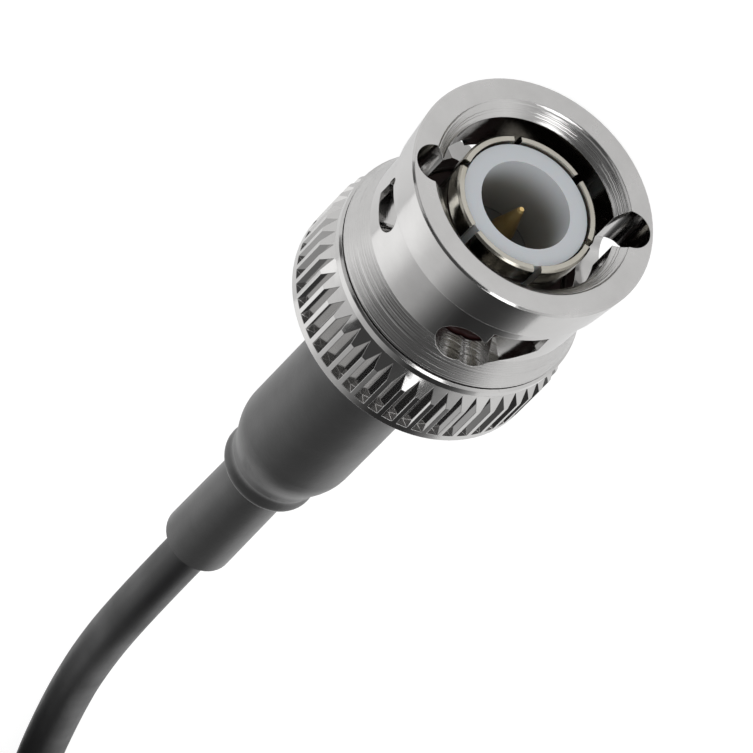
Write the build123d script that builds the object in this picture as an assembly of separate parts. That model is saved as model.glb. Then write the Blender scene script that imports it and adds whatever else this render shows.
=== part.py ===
from build123d import *
import math
import os

os.makedirs("parts", exist_ok=True)

# pH electrode on a coaxial lead with a bayonet plug, lying on a bench.
# Millimetres. The plug lies on its side with its axis along Y: it mates towards -Y
# and its lead leaves towards +Y. The origin is on the plug's axis, in the plane of
# the coupling nut's front face, and +Z is up.
# A place along the axis is a distance behind that front face.

# Fits
run_fit = 0.05
seat_fit = 0.03
gasket_fit = 0.06

# Coupling nut, inside
bore_r = 4.89
mouth_chamfer = 0.69
cavity_step = 0.41
lip_thick = 1.45

# Coupling nut, outside: the barrel's wall, and how far each part stands off it
barrel_wall = 1.36
rim_rise = 0.53
rim_taper = 0.23
flare_rise = 0.49
groove_rise = 0.2
collar_rise = 0.61
cone_rise = 0.27
knurl_rise = 0.87
knurl_deep = 0.43
knurl_point_rise = 0.2
edge_break = 0.12
heel_edge = 0.15
knurl_count = 52

# Coupling nut, lengths
rim_long = 2.75
barrel_long = 3.1
flare_long = 2.0
groove_long = 0.16
collar_long = 0.66
cone_long = 1.15
knurl_long = 2.65
heel_long = 0.6

# Bayonet track: a half-round way in, a ramp round the barrel and a round seat
track_r = 1.05
way_in_r = 1.08
way_in_out = 0.6
track_front_gap = 0.04
ramp_rise = 1.7
seat_rise = 0.2
seat_r = 1.25
window_step = 0.8
track_start_in = 0.49
track_over = 0.95
track_deep = 1.05
way_in_deg = 122.7
track_begin_deg = 131.5
track_open_deg = 116
ramp_start_deg = 62
ramp_end_deg = 33
seat_deg = 23
ramp_count = 7

# Outer contact: a tube with six spring fingers
jack_gap = 0.97
contact_set_back = 0.7
contact_lip_rise = 0.1
contact_wall = 0.27
contact_lip_long = 1.1
contact_lip_slope = 0.35
contact_front_long = 5.55
contact_foot_long = 0.7
contact_tail_step = 0.52
contact_tail_wall = 0.43
contact_tail_long = 3.6
finger_slot_wide = 0.42
finger_slot_long = 4.9
finger_count = 6
finger_deg = 45

# White insulators
front_ins_set_back = 0.92
front_ins_fit = 0.09
front_ins_wall = 0.96
front_ins_web = 0.7
pin_hole_fit = 0.03
rear_ins_long = 6.4

# Centre contact
pin_r = 0.675
pin_root_rise = 0.165
pin_set_back = 1.35
pin_tip_r = 0.2
pin_tip_long = 2.1
pin_tip_round = 0.15
solder_cup_rise = 0.11
solder_cup_long = 3.9

# Connector body
flange_thick = 0.95
shoulder_deep = 1.04
journal_heel_long = 0.49
rear_barrel_step = 0.93
rear_barrel_slope = 0.9
rear_barrel_long = 13.3
rear_barrel_wall = 0.72
stem_wall = 0.4
stem_long = 3.85

# Washers, ring and gasket
gasket_thick = 0.68
wave_thick = 0.25
wave_high = 0.29
wave_count = 3
wave_inner_gap = 0.13
wave_outer_gap = 0.17
washer_thick = 0.4
snap_play = 0.08
snap_thick = 0.55
snap_rise = 0.7
snap_groove_deep = 0.4
snap_gap_wide = 2.2

# Lead, crimp ferrule, braid and stripped cable end
cable_r = 1.25
core_r = 0.75
core_fit = 0.1
wire_r = 0.25
wire_fit = 0.05
wire_bare_long = 3.2
braid_wall = 0.42
braid_neck_long = 0.45
ferrule_fit = 0.05
ferrule_wall = 0.58
ferrule_gap = 0.2
ferrule_long = 4.05
ferrule_waist_deep = 0.12
ferrule_bead_deep = 0.02
ferrule_waist_at = 2.75
ferrule_bead_at = 3.3
ferrule_slope = 0.45

# Heat-shrink sleeve: its wall, and how far its steps lie past the pieces under it
sleeve_wall = 0.36
sleeve_slack = 0.1
sleeve_front_gap = 0.1
sleeve_full_past = 0.25
sleeve_shoulder_long = 2.1
sleeve_plain_before = 0.1
sleeve_waist_past = 0.4
sleeve_bulge_past = 0.45
sleeve_neck_past = 0.45
sleeve_neck_wall = 0.67
sleeve_neck_long = 8.15
sleeve_mouth_rise = 0.06
sleeve_end_round = 0.35

# Lead: its way to the hank, the folded hank with its tie, and its way to the electrode
lead_step = 8.2
lead_drop_1 = 1.6
lead_drop_2 = 4.0
lead_side_1 = 0.35
lead_side_2 = 1.15
lead_side_3 = 2.4
lead_side_4 = 5.0
lead_side_5 = 5.82
hank_start = 84.5
hank_run = 37.5
hank_fold_r = 7.5
hank_turns_high = 4
hank_slack = 0.02
hank_edge = 1.0
tie_wide = 5.0
tie_thick = 0.3
tie_fit = 0.02
tie_corner_r = 1.2
tail_back = 4.0
tail_long = 18.0
tail_swing_long = 16.5
tail_steps = 5
electrode_side = 0.9

# Electrode: boot, head, shaft and its glass
boot_long = 26.0
boot_small_r = 2.7
boot_large_r = 4.4
boot_neck_r = 3.3
boot_neck_long = 3.0
boot_foot_r = 4.6
boot_foot_long = 2.0
boot_rib_count = 7
boot_rib_deep = 0.55
boot_rib_share = 0.5
shaft_r = 6.0
shaft_wall = 1.0
shaft_long = 128.0
shaft_edge = 0.6
head_socket_wall = 2.0
head_long = 30.0
head_wall = 1.6
head_end_wall = 2.8
head_socket_long = 12.0
head_edge = 0.9
head_flute_count = 12
head_flute_r = 1.0
head_flute_long = 17.0
head_ring_r = 0.75
guard_slot_wide = 3.2
guard_slot_long = 9.0
guard_slot_count = 4
bulb_gap = 0.9
bulb_wall = 0.45
bulb_set_back = 2.4
stem_glass_step = 1.1
stem_glass_wall = 0.7
junction_long = 3.0
junction_gap = 1.7
potting_long = 6.0
silver_r = 0.35
silver_long = 92.0
inner_silver_short = 4.5

# Storage cap over the electrode's tip
cap_rise = 2.0
cap_collar_long = 8.5
cap_wall = 1.3
cap_end_wall = 2.4
cap_room = 7.0
cap_cover_long = 24.0
cap_edge = 0.7
cap_groove_count = 24
cap_groove_r = 0.35
cap_groove_long = 6.5
cap_ring_r = 0.6
cap_ring_fit = 0.02


def spot(r, deg, y):
    # a place by its distance from the plug's axis, its angle from +Z towards -X, and y
    a = math.radians(deg)
    return (-math.sin(a) * r, y, math.cos(a) * r)


def turned(points):
    # a body of revolution about the Y axis from its half section, as (radius, y) pairs
    return revolve(make_face(Polyline(*points, close=True)), Axis.Y, 360)


def tube(r_out, r_in, y0, y1):
    return turned([(r_in, y0), (r_out, y0), (r_out, y1), (r_in, y1)])


def rod(r, y0, y1):
    return turned([(0, y0), (r, y0), (r, y1), (0, y1)])


def bored(r, start, direction, long):
    # a round bar from a start point, used as a drill
    return extrude(Plane(origin=start, z_dir=direction) * Circle(r), long)


def bar(r_in, r_out, wide, y0, y1, deg):
    # a flat-sided bar along the axis at one angle, used as a slitting saw
    a = math.radians(deg)
    out = (-math.sin(a), 0, math.cos(a))
    side = (math.cos(a), 0, math.sin(a))
    pts = []
    for r, k in ((r_in, -1), (r_out, -1), (r_out, 1), (r_in, 1)):
        pts.append(tuple(out[i] * r + side[i] * k * wide / 2 + (0, y0, 0)[i] for i in range(3)))
    return extrude(make_face(Polyline(*pts, close=True)), y1 - y0, dir=(0, 1, 0))


def save(shape, name):
    shape.label = name
    export_step(shape, "parts/" + name + ".step")


# Radii, from the nut's bore outwards and inwards
mouth_r = bore_r + mouth_chamfer
cavity_r = bore_r + cavity_step
barrel_r = bore_r + barrel_wall
rim_r = barrel_r + rim_rise
rim_rear_r = rim_r - rim_taper
flare_r = barrel_r + flare_rise
groove_r = barrel_r + groove_rise
collar_r = barrel_r + collar_rise
cone_r = barrel_r + cone_rise
knurl_r = barrel_r + knurl_rise
knurl_root_r = knurl_r - knurl_deep
knurl_point_r = knurl_r + knurl_point_rise
flange_r = bore_r - run_fit
journal_r = bore_r - shoulder_deep
lip_hole_r = journal_r + run_fit
contact_r = bore_r - jack_gap
contact_waist_r = contact_r - contact_lip_rise
contact_hole_r = contact_waist_r - contact_wall
contact_tail_r = contact_waist_r - contact_tail_step
contact_tail_hole_r = contact_tail_r - contact_tail_wall
rear_barrel_r = journal_r - rear_barrel_step
body_hole_r = rear_barrel_r - rear_barrel_wall
stem_hole_r = core_r + core_fit
stem_r = stem_hole_r + stem_wall
braid_in = stem_r + seat_fit
braid_out = braid_in + braid_wall
ferrule_in_r = braid_out + ferrule_fit
ferrule_r = ferrule_in_r + ferrule_wall
ferrule_waist_r = ferrule_r - ferrule_waist_deep
ferrule_bead_r = ferrule_r - ferrule_bead_deep

# Places along the axis, front to rear
barrel_end = rim_long + barrel_long
flare_end = barrel_end + flare_long
groove_end = flare_end + groove_long
collar_end = groove_end + collar_long
cone_end = collar_end + cone_long
knurl_end = cone_end + knurl_long
nut_end = knurl_end + heel_long
flange_front = contact_set_back + contact_front_long + contact_foot_long
flange_rear = flange_front + flange_thick
wave_space = wave_thick + 2 * wave_high + 2 * seat_fit / 3
washer_front = flange_rear + wave_space
lip_front = washer_front + washer_thick
lip_rear = lip_front + lip_thick
snap_front = lip_rear + snap_play
snap_rear = snap_front + snap_thick
journal_end = snap_rear + seat_fit + journal_heel_long + rear_barrel_slope
rear_barrel_end = journal_end + rear_barrel_long
stem_end = rear_barrel_end + stem_long
tail_end = flange_front + contact_tail_long

# Coupling nut: one turned piece with a bayonet track milled through its barrel and a
# straight knurl with pointed ends round its grip
nut = turned([
    (mouth_r, 0),
    (rim_r - edge_break, 0),
    (rim_r, edge_break),
    (rim_rear_r, rim_long - edge_break),
    (rim_rear_r - edge_break, rim_long),
    (barrel_r, rim_long),
    (barrel_r, barrel_end),
    (flare_r, flare_end),
    (groove_r, flare_end),
    (groove_r, groove_end),
    (collar_r - edge_break, groove_end),
    (collar_r, groove_end + edge_break),
    (collar_r, collar_end - edge_break),
    (collar_r - edge_break, collar_end),
    (cone_r, collar_end),
    (knurl_r, cone_end),
    (knurl_r, nut_end - heel_edge),
    (knurl_r - heel_edge, nut_end),
    (cavity_r, nut_end),
    (cavity_r, lip_rear),
    (lip_hole_r, lip_rear),
    (lip_hole_r, lip_front),
    (bore_r, lip_front),
    (bore_r, mouth_r - bore_r),
])
star = []
for i in range(2 * knurl_count):
    r = knurl_root_r if i % 2 == 0 else knurl_point_r
    star.append(spot(r, 180 * i / knurl_count, collar_end))
blank = make_face(Polyline(*star, close=True))
disc = Plane(origin=(0, collar_end, 0), z_dir=(0, -1, 0)) * Circle(2 * knurl_r)
nut -= extrude(disc - blank, cone_long + knurl_long, dir=(0, 1, 0))

track_start = rim_long + track_front_gap + track_r
track_front = track_start - track_r
track_inner_r = bore_r - track_start_in
track_outer_r = barrel_r + track_over
track_floor_r = bore_r + track_deep
way_in_centre_r = bore_r + way_in_out
ramp_end = track_start + ramp_rise
window_front = track_front + window_step
track_parts = [
    (track_begin_deg, track_open_deg, track_outer_r, track_front, 0),
    (track_open_deg, ramp_start_deg, track_floor_r, track_front, 0),
    (ramp_start_deg, ramp_end_deg, track_outer_r, window_front, ramp_rise),
]
for turn in (0, 180):
    for deg_1, deg_2, outer_r, front, rise in track_parts:
        sections = []
        for i in range(ramp_count):
            k = i / (ramp_count - 1)
            deg = turn + deg_1 + (deg_2 - deg_1) * k
            rear = track_start + track_r + rise * k
            corners = [
                spot(track_inner_r, deg, front),
                spot(outer_r, deg, front),
                spot(outer_r, deg, rear),
                spot(track_inner_r, deg, rear),
            ]
            sections.append(make_face(Polyline(*corners, close=True)))
        nut -= loft(sections)
    deep = track_outer_r - track_inner_r
    for deg, y, r in (
        (track_begin_deg, track_start, track_r),
        (ramp_end_deg, ramp_end, track_r),
        (seat_deg, ramp_end - seat_rise, seat_r),
    ):
        start = spot(track_inner_r, turn + deg, y)
        nut -= bored(r, start, spot(1, turn + deg, 0), deep)
    start = spot(way_in_centre_r, turn + way_in_deg, -edge_break)
    nut -= bored(way_in_r, start, (0, 1, 0), track_start + edge_break)
save(nut, "coupling_nut")

# Connector body: flange, journal for the nut, rear barrel and crimp stem in one piece
snap_groove_r = journal_r - snap_groove_deep
body = turned([
    (contact_tail_r + seat_fit, flange_front),
    (flange_r, flange_front),
    (flange_r, flange_rear),
    (journal_r, flange_rear),
    (journal_r, snap_front),
    (snap_groove_r, snap_front),
    (snap_groove_r, snap_rear + seat_fit),
    (journal_r, snap_rear + seat_fit),
    (journal_r, journal_end - rear_barrel_slope),
    (rear_barrel_r, journal_end),
    (rear_barrel_r, rear_barrel_end),
    (stem_r, rear_barrel_end),
    (stem_r, stem_end),
    (stem_hole_r, stem_end),
    (stem_hole_r, rear_barrel_end - ferrule_wall),
    (body_hole_r, rear_barrel_end - ferrule_wall),
    (body_hole_r, tail_end),
    (contact_tail_r + seat_fit, tail_end),
])
save(body, "connector_body")

# Outer contact: a turned tube, slit into six fingers with a raised band at their tips
contact = turned([
    (contact_hole_r, contact_set_back),
    (contact_r - edge_break, contact_set_back),
    (contact_r, contact_set_back + edge_break),
    (contact_r, contact_set_back + contact_lip_long),
    (contact_waist_r, contact_set_back + contact_lip_long + contact_lip_slope),
    (contact_waist_r, flange_front),
    (contact_tail_r, flange_front),
    (contact_tail_r, tail_end),
    (contact_tail_hole_r, tail_end),
    (contact_tail_hole_r, flange_front - contact_foot_long),
    (contact_hole_r, flange_front - contact_foot_long),
])
for i in range(finger_count):
    contact -= bar(
        contact_tail_hole_r, contact_r + finger_slot_wide, finger_slot_wide,
        contact_set_back - edge_break, contact_set_back + finger_slot_long,
        finger_deg + 360 * i / finger_count,
    )
save(contact, "outer_contact")

# Front insulator: a white cup round the pin, with a tail in the contact's tail
web_front = flange_front - contact_foot_long - front_ins_web
front_ins_r = contact_hole_r - front_ins_fit
front_ins_hole_r = front_ins_r - front_ins_wall
front_ins_tail_r = contact_tail_hole_r - seat_fit
pin_root_r = pin_r + pin_root_rise
pin_hole_r = pin_root_r + pin_hole_fit
front_ins = turned([
    (front_ins_hole_r, front_ins_set_back),
    (front_ins_r, front_ins_set_back),
    (front_ins_r, flange_front - contact_foot_long - seat_fit),
    (front_ins_tail_r, flange_front - contact_foot_long - seat_fit),
    (front_ins_tail_r, tail_end),
    (pin_hole_r, tail_end),
    (pin_hole_r, web_front),
    (front_ins_hole_r, web_front),
])
save(front_ins, "front_insulator")

# Centre contact: a pin with a cone at its tip, a thicker root in the insulator and a
# hollow solder cup behind
cup_front = tail_end + seat_fit
cup_end = cup_front + solder_cup_long
solder_cup_r = pin_root_r + solder_cup_rise
solder_cup_hole_r = wire_r + wire_fit
pin = turned([
    (0, pin_set_back),
    (pin_tip_r - pin_tip_round / 2, pin_set_back),
    (pin_tip_r, pin_set_back + pin_tip_round),
    (pin_r, pin_set_back + pin_tip_long),
    (pin_r, web_front),
    (pin_root_r, web_front),
    (pin_root_r, cup_front),
    (solder_cup_r, cup_front),
    (solder_cup_r, cup_end),
    (solder_cup_hole_r, cup_end),
    (solder_cup_hole_r, cup_end - wire_bare_long),
    (0, cup_end - wire_bare_long),
])
save(pin, "centre_contact")

# Rear insulator: it holds the solder cup in the middle of the body
rear_ins_r = body_hole_r - seat_fit
rear_ins = turned([
    (solder_cup_r + seat_fit, cup_front),
    (rear_ins_r, cup_front),
    (rear_ins_r, cup_front + rear_ins_long),
    (core_r + seat_fit, cup_front + rear_ins_long),
    (core_r + seat_fit, cup_end + seat_fit),
    (solder_cup_r + seat_fit, cup_end + seat_fit),
])
save(rear_ins, "rear_insulator")

# Gasket: a soft ring against the front of the flange
gasket_r = flange_r - gasket_fit
save(tube(gasket_r, contact_waist_r + gasket_fit, flange_front - gasket_thick, flange_front), "gasket")


def wave_line(r, middle):
    pts = []
    n = 8 * wave_count
    for i in range(n):
        a = 2 * math.pi * i / n
        y = middle + wave_high * math.cos(wave_count * a)
        pts.append((r * math.sin(a), y, r * math.cos(a)))
    return Spline(*pts, periodic=True)


# Wave washer: a flat spring ring with three waves, between the flange and the washer
wave_middle = flange_rear + wave_space / 2
wave_inner_r = journal_r + wave_inner_gap
wave_outer_r = bore_r - wave_outer_gap
lines = [
    wave_line(wave_inner_r, wave_middle - wave_thick / 2),
    wave_line(wave_outer_r, wave_middle - wave_thick / 2),
    wave_line(wave_outer_r, wave_middle + wave_thick / 2),
    wave_line(wave_inner_r, wave_middle + wave_thick / 2),
]
skins = [Face.make_surface_from_curves(lines[i].edge(), lines[(i + 1) % 4].edge()) for i in range(4)]
wave = Solid(Shell(skins))
save(wave, "wave_washer")

# Thrust washer: a flat ring between the wave washer and the nut's inner lip
save(tube(bore_r - run_fit, journal_r + run_fit, washer_front, lip_front), "thrust_washer")

# Retaining ring: an open ring sprung into the body's groove behind the nut's lip
snap_r = journal_r + snap_rise
snap = tube(snap_r, snap_groove_r + seat_fit, snap_front, snap_rear)
snap -= bar(0, 2 * snap_r, snap_gap_wide, snap_front - snap_thick, snap_rear + snap_thick, 180)
save(snap, "retaining_ring")

# Crimp ferrule: a tube that clamps the braid to the stem, with a pressed waist
ferrule_front = rear_barrel_end + ferrule_gap
ferrule_rear = ferrule_front + ferrule_long
waist_y = ferrule_front + ferrule_waist_at
bead_y = ferrule_front + ferrule_bead_at
ferrule = turned([
    (ferrule_in_r, ferrule_front),
    (ferrule_r, ferrule_front),
    (ferrule_r, waist_y - ferrule_slope),
    (ferrule_waist_r, waist_y),
    (ferrule_waist_r, bead_y - ferrule_slope),
    (ferrule_bead_r, bead_y),
    (ferrule_bead_r, ferrule_rear),
    (ferrule_in_r, ferrule_rear),
])
save(ferrule, "crimp_ferrule")

# Cable braid: flared over the stem and drawn in to the cable behind it
braid_end = stem_end + braid_neck_long
braid = turned([
    (braid_in, ferrule_front + ferrule_gap),
    (braid_out, ferrule_front + ferrule_gap),
    (braid_out, stem_end + seat_fit),
    (core_r + seat_fit + braid_wall, braid_end),
    (core_r + seat_fit, braid_end),
    (braid_in, stem_end + seat_fit),
])
save(braid, "cable_braid")

# Cable core: the inner insulation with its bare wire in the solder cup
core_front = cup_end + seat_fit
core = turned([
    (0, cup_end - wire_bare_long + seat_fit),
    (wire_r, cup_end - wire_bare_long + seat_fit),
    (wire_r, core_front),
    (core_r, core_front),
    (core_r, braid_end + seat_fit),
    (0, braid_end + seat_fit),
])
save(core, "cable_core")

# Jacket end: the lead's own end, held in the sleeve
jacket_front = braid_end + seat_fit
sleeve_neck_at = braid_end + sleeve_neck_past
sleeve_end = sleeve_neck_at + sleeve_neck_long
save(rod(cable_r, jacket_front, sleeve_end), "cable_jacket_end")

# Heat-shrink sleeve: shrunk over the rear barrel, the ferrule and the cable
sleeve_in = rear_barrel_r + seat_fit
sleeve_full_r = rear_barrel_r + sleeve_wall
sleeve_shoulder_r = ferrule_r + sleeve_wall + sleeve_slack
sleeve_plain_r = ferrule_r + sleeve_wall
sleeve_waist_r = ferrule_waist_r + sleeve_wall
sleeve_bulge_r = ferrule_bead_r + sleeve_wall
sleeve_neck_r = cable_r + sleeve_neck_wall
sleeve_mouth_r = sleeve_neck_r + sleeve_mouth_rise
sleeve_start = journal_end + sleeve_front_gap
sleeve_full_end = rear_barrel_end + sleeve_full_past
sleeve_shoulder_at = sleeve_full_end + sleeve_shoulder_long
sleeve_plain_at = waist_y - sleeve_plain_before
sleeve_waist_at = waist_y + sleeve_waist_past
sleeve_bulge_at = bead_y + sleeve_bulge_past
along = (0, 1)
outer = [
    Line((sleeve_in, sleeve_start), (sleeve_full_r, sleeve_start)),
    Line((sleeve_full_r, sleeve_start), (sleeve_full_r, sleeve_full_end)),
    Spline(
        (sleeve_full_r, sleeve_full_end), (sleeve_shoulder_r, sleeve_shoulder_at),
        (sleeve_plain_r, sleeve_plain_at), tangents=[along, along],
    ),
    Spline((sleeve_plain_r, sleeve_plain_at), (sleeve_waist_r, sleeve_waist_at), tangents=[along, along]),
    Spline((sleeve_waist_r, sleeve_waist_at), (sleeve_bulge_r, sleeve_bulge_at), tangents=[along, along]),
    Spline((sleeve_bulge_r, sleeve_bulge_at), (sleeve_neck_r, sleeve_neck_at), tangents=[along, along]),
    Line((sleeve_neck_r, sleeve_neck_at), (sleeve_mouth_r, sleeve_end - sleeve_end_round)),
    Line((sleeve_mouth_r, sleeve_end - sleeve_end_round), (sleeve_mouth_r - sleeve_end_round, sleeve_end)),
    Polyline(
        (sleeve_mouth_r - sleeve_end_round, sleeve_end),
        (cable_r + seat_fit, sleeve_end),
        (cable_r + seat_fit, sleeve_neck_at),
        (ferrule_bead_r + seat_fit, ferrule_rear + seat_fit),
        (ferrule_bead_r + seat_fit, bead_y - seat_fit),
        (ferrule_waist_r + seat_fit, bead_y - ferrule_slope - seat_fit),
        (ferrule_waist_r + seat_fit, waist_y + seat_fit),
        (ferrule_r + seat_fit, waist_y - ferrule_slope + seat_fit),
        (ferrule_r + seat_fit, sleeve_shoulder_at),
        (sleeve_in, rear_barrel_end + seat_fit),
        (sleeve_in, sleeve_start),
    ),
]
sleeve = revolve(make_face(Curve() + outer), Axis.Y, 360)
save(sleeve, "heat_shrink_sleeve")


def lead_tube(points, name):
    # a round tube along straight runs joined by arcs as large as the runs allow
    runs = [(Vector(*b) - Vector(*a)).length for a, b in zip(points, points[1:])]
    radii = []
    for i in range(1, len(points) - 1):
        one = Vector(*points[i]) - Vector(*points[i - 1])
        two = Vector(*points[i + 1]) - Vector(*points[i])
        half = math.radians(one.get_angle(two) / 2)
        radii.append(0.45 * min(runs[i - 1], runs[i]) / math.tan(half))
    path = FilletPolyline(*points, radius=radii)
    start = Plane(origin=points[0], z_dir=Vector(*points[1]) - Vector(*points[0]))
    solid = sweep(start * Circle(cable_r), path=path)
    share = solid.volume / (math.pi * cable_r**2 * path.length)
    print(name, "runs", [round(r, 1) for r in runs], "radii", [round(r, 1) for r in radii])
    print(name, "length", round(path.length, 1), "volume share", round(share, 4))
    save(solid, name)


# Lead: down from the sleeve to the bench and along it into the hank
floor_z = -knurl_r
lead_low = floor_z + cable_r
lead_wide = 2 * cable_r
lead_y = [sleeve_end + lead_step * i for i in range(6)]
lead_points = [
    (0, lead_y[0], 0),
    (0, lead_y[1], 0),
    (-lead_side_1, lead_y[2], -lead_drop_1),
    (-lead_side_2, lead_y[3], -lead_drop_2),
    (-lead_side_3, lead_y[4], lead_low),
    (-lead_side_4, lead_y[5], lead_low),
    (-lead_side_5, hank_start + lead_step / 2, lead_low),
]
lead_tube(lead_points, "lead_run")

# Hank: the rest of the lead, folded to and fro in two rows side by side, four turns high,
# and tied in the middle with a thin band
outer_fold_r = hank_fold_r + lead_wide + hank_slack
hank_x = outer_fold_r - lead_side_5
hank_y = hank_start + hank_run / 2
hank_high = hank_turns_high * lead_wide
hank_out = outer_fold_r + cable_r + hank_slack
hank_in = hank_fold_r - cable_r - hank_slack
ring = SlotCenterToCenter(hank_run, 2 * hank_out, rotation=90)
ring -= SlotCenterToCenter(hank_run, 2 * hank_in, rotation=90)
hank = extrude(ring, hank_high)
hank = fillet(hank.faces().filter_by(Axis.Z).edges(), hank_edge)
hank_place = Location((hank_x, hank_y, floor_z))
tie_half = hank_out - tie_thick
tie_in_r = tie_corner_r - tie_thick
channel = Pos(0, 0, hank_high / 2) * Box(4 * hank_out, tie_wide + 2 * tie_fit, 4 * hank_high)
core_face = RectangleRounded(2 * (tie_half - tie_fit), hank_high - tie_thick - 2 * tie_fit, tie_in_r)
core = Plane.XZ * (Pos(0, (hank_high + tie_thick) / 2) * core_face)
hank -= channel - Pos(0, tie_wide, 0) * extrude(core, 2 * tie_wide)
save(hank_place * hank, "lead_hank")
band = Plane.XZ * (Pos(0, (hank_high + tie_thick) / 2) * (
    RectangleRounded(2 * hank_out, hank_high + tie_thick, tie_corner_r)
    - RectangleRounded(2 * tie_half, hank_high - tie_thick, tie_in_r)
))
tie = Pos(0, tie_wide / 2, 0) * extrude(band, tie_wide)
save(hank_place * tie, "hank_tie")

# Tail: from the hank's top turn, straight off its left side and over to the electrode's boot
head_r = shaft_r + head_socket_wall
axis_z = floor_z + head_r
tail_z = floor_z + hank_high - cable_r
hank_end = hank_start + hank_run
boot_front = hank_end + tail_long
tail_points = [(-lead_side_5, hank_end - tail_back, tail_z)]
for i in range(tail_steps + 1):
    share = (1 - math.cos(math.pi * i / tail_steps)) / 2
    tail_points.append((
        -lead_side_5 + (lead_side_5 + electrode_side) * share,
        hank_end + tail_swing_long * i / tail_steps,
        tail_z + (axis_z - tail_z) * share,
    ))
tail_points.append((electrode_side, boot_front, axis_z))
lead_tube(tail_points, "lead_tail")

# The electrode lies on its head and on its storage cap, with its axis along Y
place = Location((electrode_side, 0, axis_z))
head_front = boot_front + boot_long
head_rear = head_front + head_long
socket_floor = head_rear - head_socket_long
shaft_start = socket_floor
shaft_end = shaft_start + shaft_long
shaft_hole_r = shaft_r - shaft_wall

# Boot: a tapered soft sleeve with ribs, moulded on the lead and held by its foot
rib_pitch = (boot_long - boot_neck_long) / (boot_rib_count + 1)
outline = [(0, boot_front), (boot_small_r, boot_front)]
for i in range(boot_rib_count):
    y = boot_front + rib_pitch * (i + boot_rib_share)
    r = boot_small_r + (boot_large_r - boot_small_r) * (i + 1) / (boot_rib_count + 1)
    outline += [(r, y), (r - boot_rib_deep, y), (r - boot_rib_deep, y + rib_pitch / 2), (r, y + rib_pitch / 2)]
foot_front = head_front + head_end_wall + seat_fit
outline += [
    (boot_large_r, head_front - boot_neck_long),
    (boot_large_r, head_front),
    (boot_neck_r, head_front),
    (boot_neck_r, foot_front),
    (boot_foot_r, foot_front),
    (boot_foot_r, foot_front + boot_foot_long),
    (0, foot_front + boot_foot_long),
]
save(place * turned(outline), "cable_boot")

# Head: a hollow moulded cap with a socket for the shaft and flutes for the fingers
head_hole_r = head_r - head_wall
head = turned([
    (boot_neck_r + seat_fit, head_front),
    (head_r - head_edge, head_front),
    (head_r, head_front + head_edge),
    (head_r, head_rear - head_edge / 2),
    (head_r - head_edge / 2, head_rear),
    (shaft_r + seat_fit, head_rear),
    (shaft_r + seat_fit, socket_floor),
    (shaft_hole_r, socket_floor),
    (shaft_hole_r, head_front + head_end_wall),
    (boot_neck_r + seat_fit, head_front + head_end_wall),
])
flute_start = head_front + (head_long - head_flute_long) / 2
for i in range(head_flute_count):
    deg = 360 * (i + 0.5) / head_flute_count
    start = spot(head_r + head_flute_r / 2, deg, flute_start)
    head -= bored(head_flute_r, start, (0, 1, 0), head_flute_long)
save(place * head, "electrode_head")

# Head ring: a soft ring round the shaft, against the head's end
ring_y = head_rear + head_ring_r
head_ring = revolve(Pos(shaft_r + head_ring_r, ring_y) * Circle(head_ring_r), Axis.Y, 360)
save(place * head_ring, "head_ring")

# Shaft: a tube whose open end is slotted into a guard round the bulb
shaft = turned([
    (shaft_hole_r, shaft_start),
    (shaft_r, shaft_start),
    (shaft_r, shaft_end - shaft_edge),
    (shaft_r - shaft_edge / 2, shaft_end),
    (shaft_hole_r, shaft_end),
])
for i in range(guard_slot_count):
    shaft -= bar(
        shaft_hole_r / 2, 2 * shaft_r, guard_slot_wide,
        shaft_end - guard_slot_long, shaft_end + shaft_edge,
        360 * i / guard_slot_count,
    )
save(place * shaft, "electrode_shaft")

# Glass: a long stem with a thin bulb blown on its end
bulb_end = shaft_end - bulb_set_back
potting_start = shaft_start + seat_fit
glass_start = potting_start + potting_long / 2
bulb_r = shaft_hole_r - bulb_gap
stem_glass_r = bulb_r - stem_glass_step
stem_in_r = stem_glass_r - stem_glass_wall
bulb_in_r = bulb_r - bulb_wall
bulb_y = bulb_end - bulb_r
join_out = bulb_y - math.sqrt(bulb_r**2 - stem_glass_r**2)
join_in = bulb_y - math.sqrt(bulb_in_r**2 - stem_in_r**2)
half = math.sqrt(0.5)
glass_edges = [
    Polyline((stem_in_r, join_in), (stem_in_r, glass_start), (stem_glass_r, glass_start), (stem_glass_r, join_out)),
    ThreePointArc((stem_glass_r, join_out), (bulb_r * half, bulb_y + bulb_r * half), (0, bulb_end)),
    Line((0, bulb_end), (0, bulb_end - bulb_wall)),
    ThreePointArc((0, bulb_end - bulb_wall), (bulb_in_r * half, bulb_y + bulb_in_r * half), (stem_in_r, join_in)),
]
glass = revolve(make_face(Curve() + glass_edges), Axis.Y, 360)
save(place * glass, "glass_stem")

# Junction: a porous ring that closes the shaft round the stem
junction_y = join_out - junction_gap - junction_long
junction = tube(shaft_hole_r - seat_fit, stem_glass_r + seat_fit, junction_y, junction_y + junction_long)
save(place * junction, "reference_junction")

# Potting: a disc that closes the shaft's rear and holds the stem and both wires
potting = turned([
    (0, potting_start),
    (shaft_hole_r - seat_fit, potting_start),
    (shaft_hole_r - seat_fit, potting_start + potting_long),
    (stem_glass_r + seat_fit, potting_start + potting_long),
    (stem_glass_r + seat_fit, glass_start - seat_fit),
    (0, glass_start - seat_fit),
])
wire_hole = silver_r + seat_fit
silver_side = (stem_glass_r + shaft_hole_r) / 2
start = spot(silver_side, 0, potting_start - seat_fit)
potting -= bored(wire_hole, start, (0, 1, 0), potting_long + 2 * seat_fit)
start = (0, potting_start - seat_fit, 0)
potting -= bored(wire_hole, start, (0, 1, 0), potting_long)
save(place * potting, "stem_potting")

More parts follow.
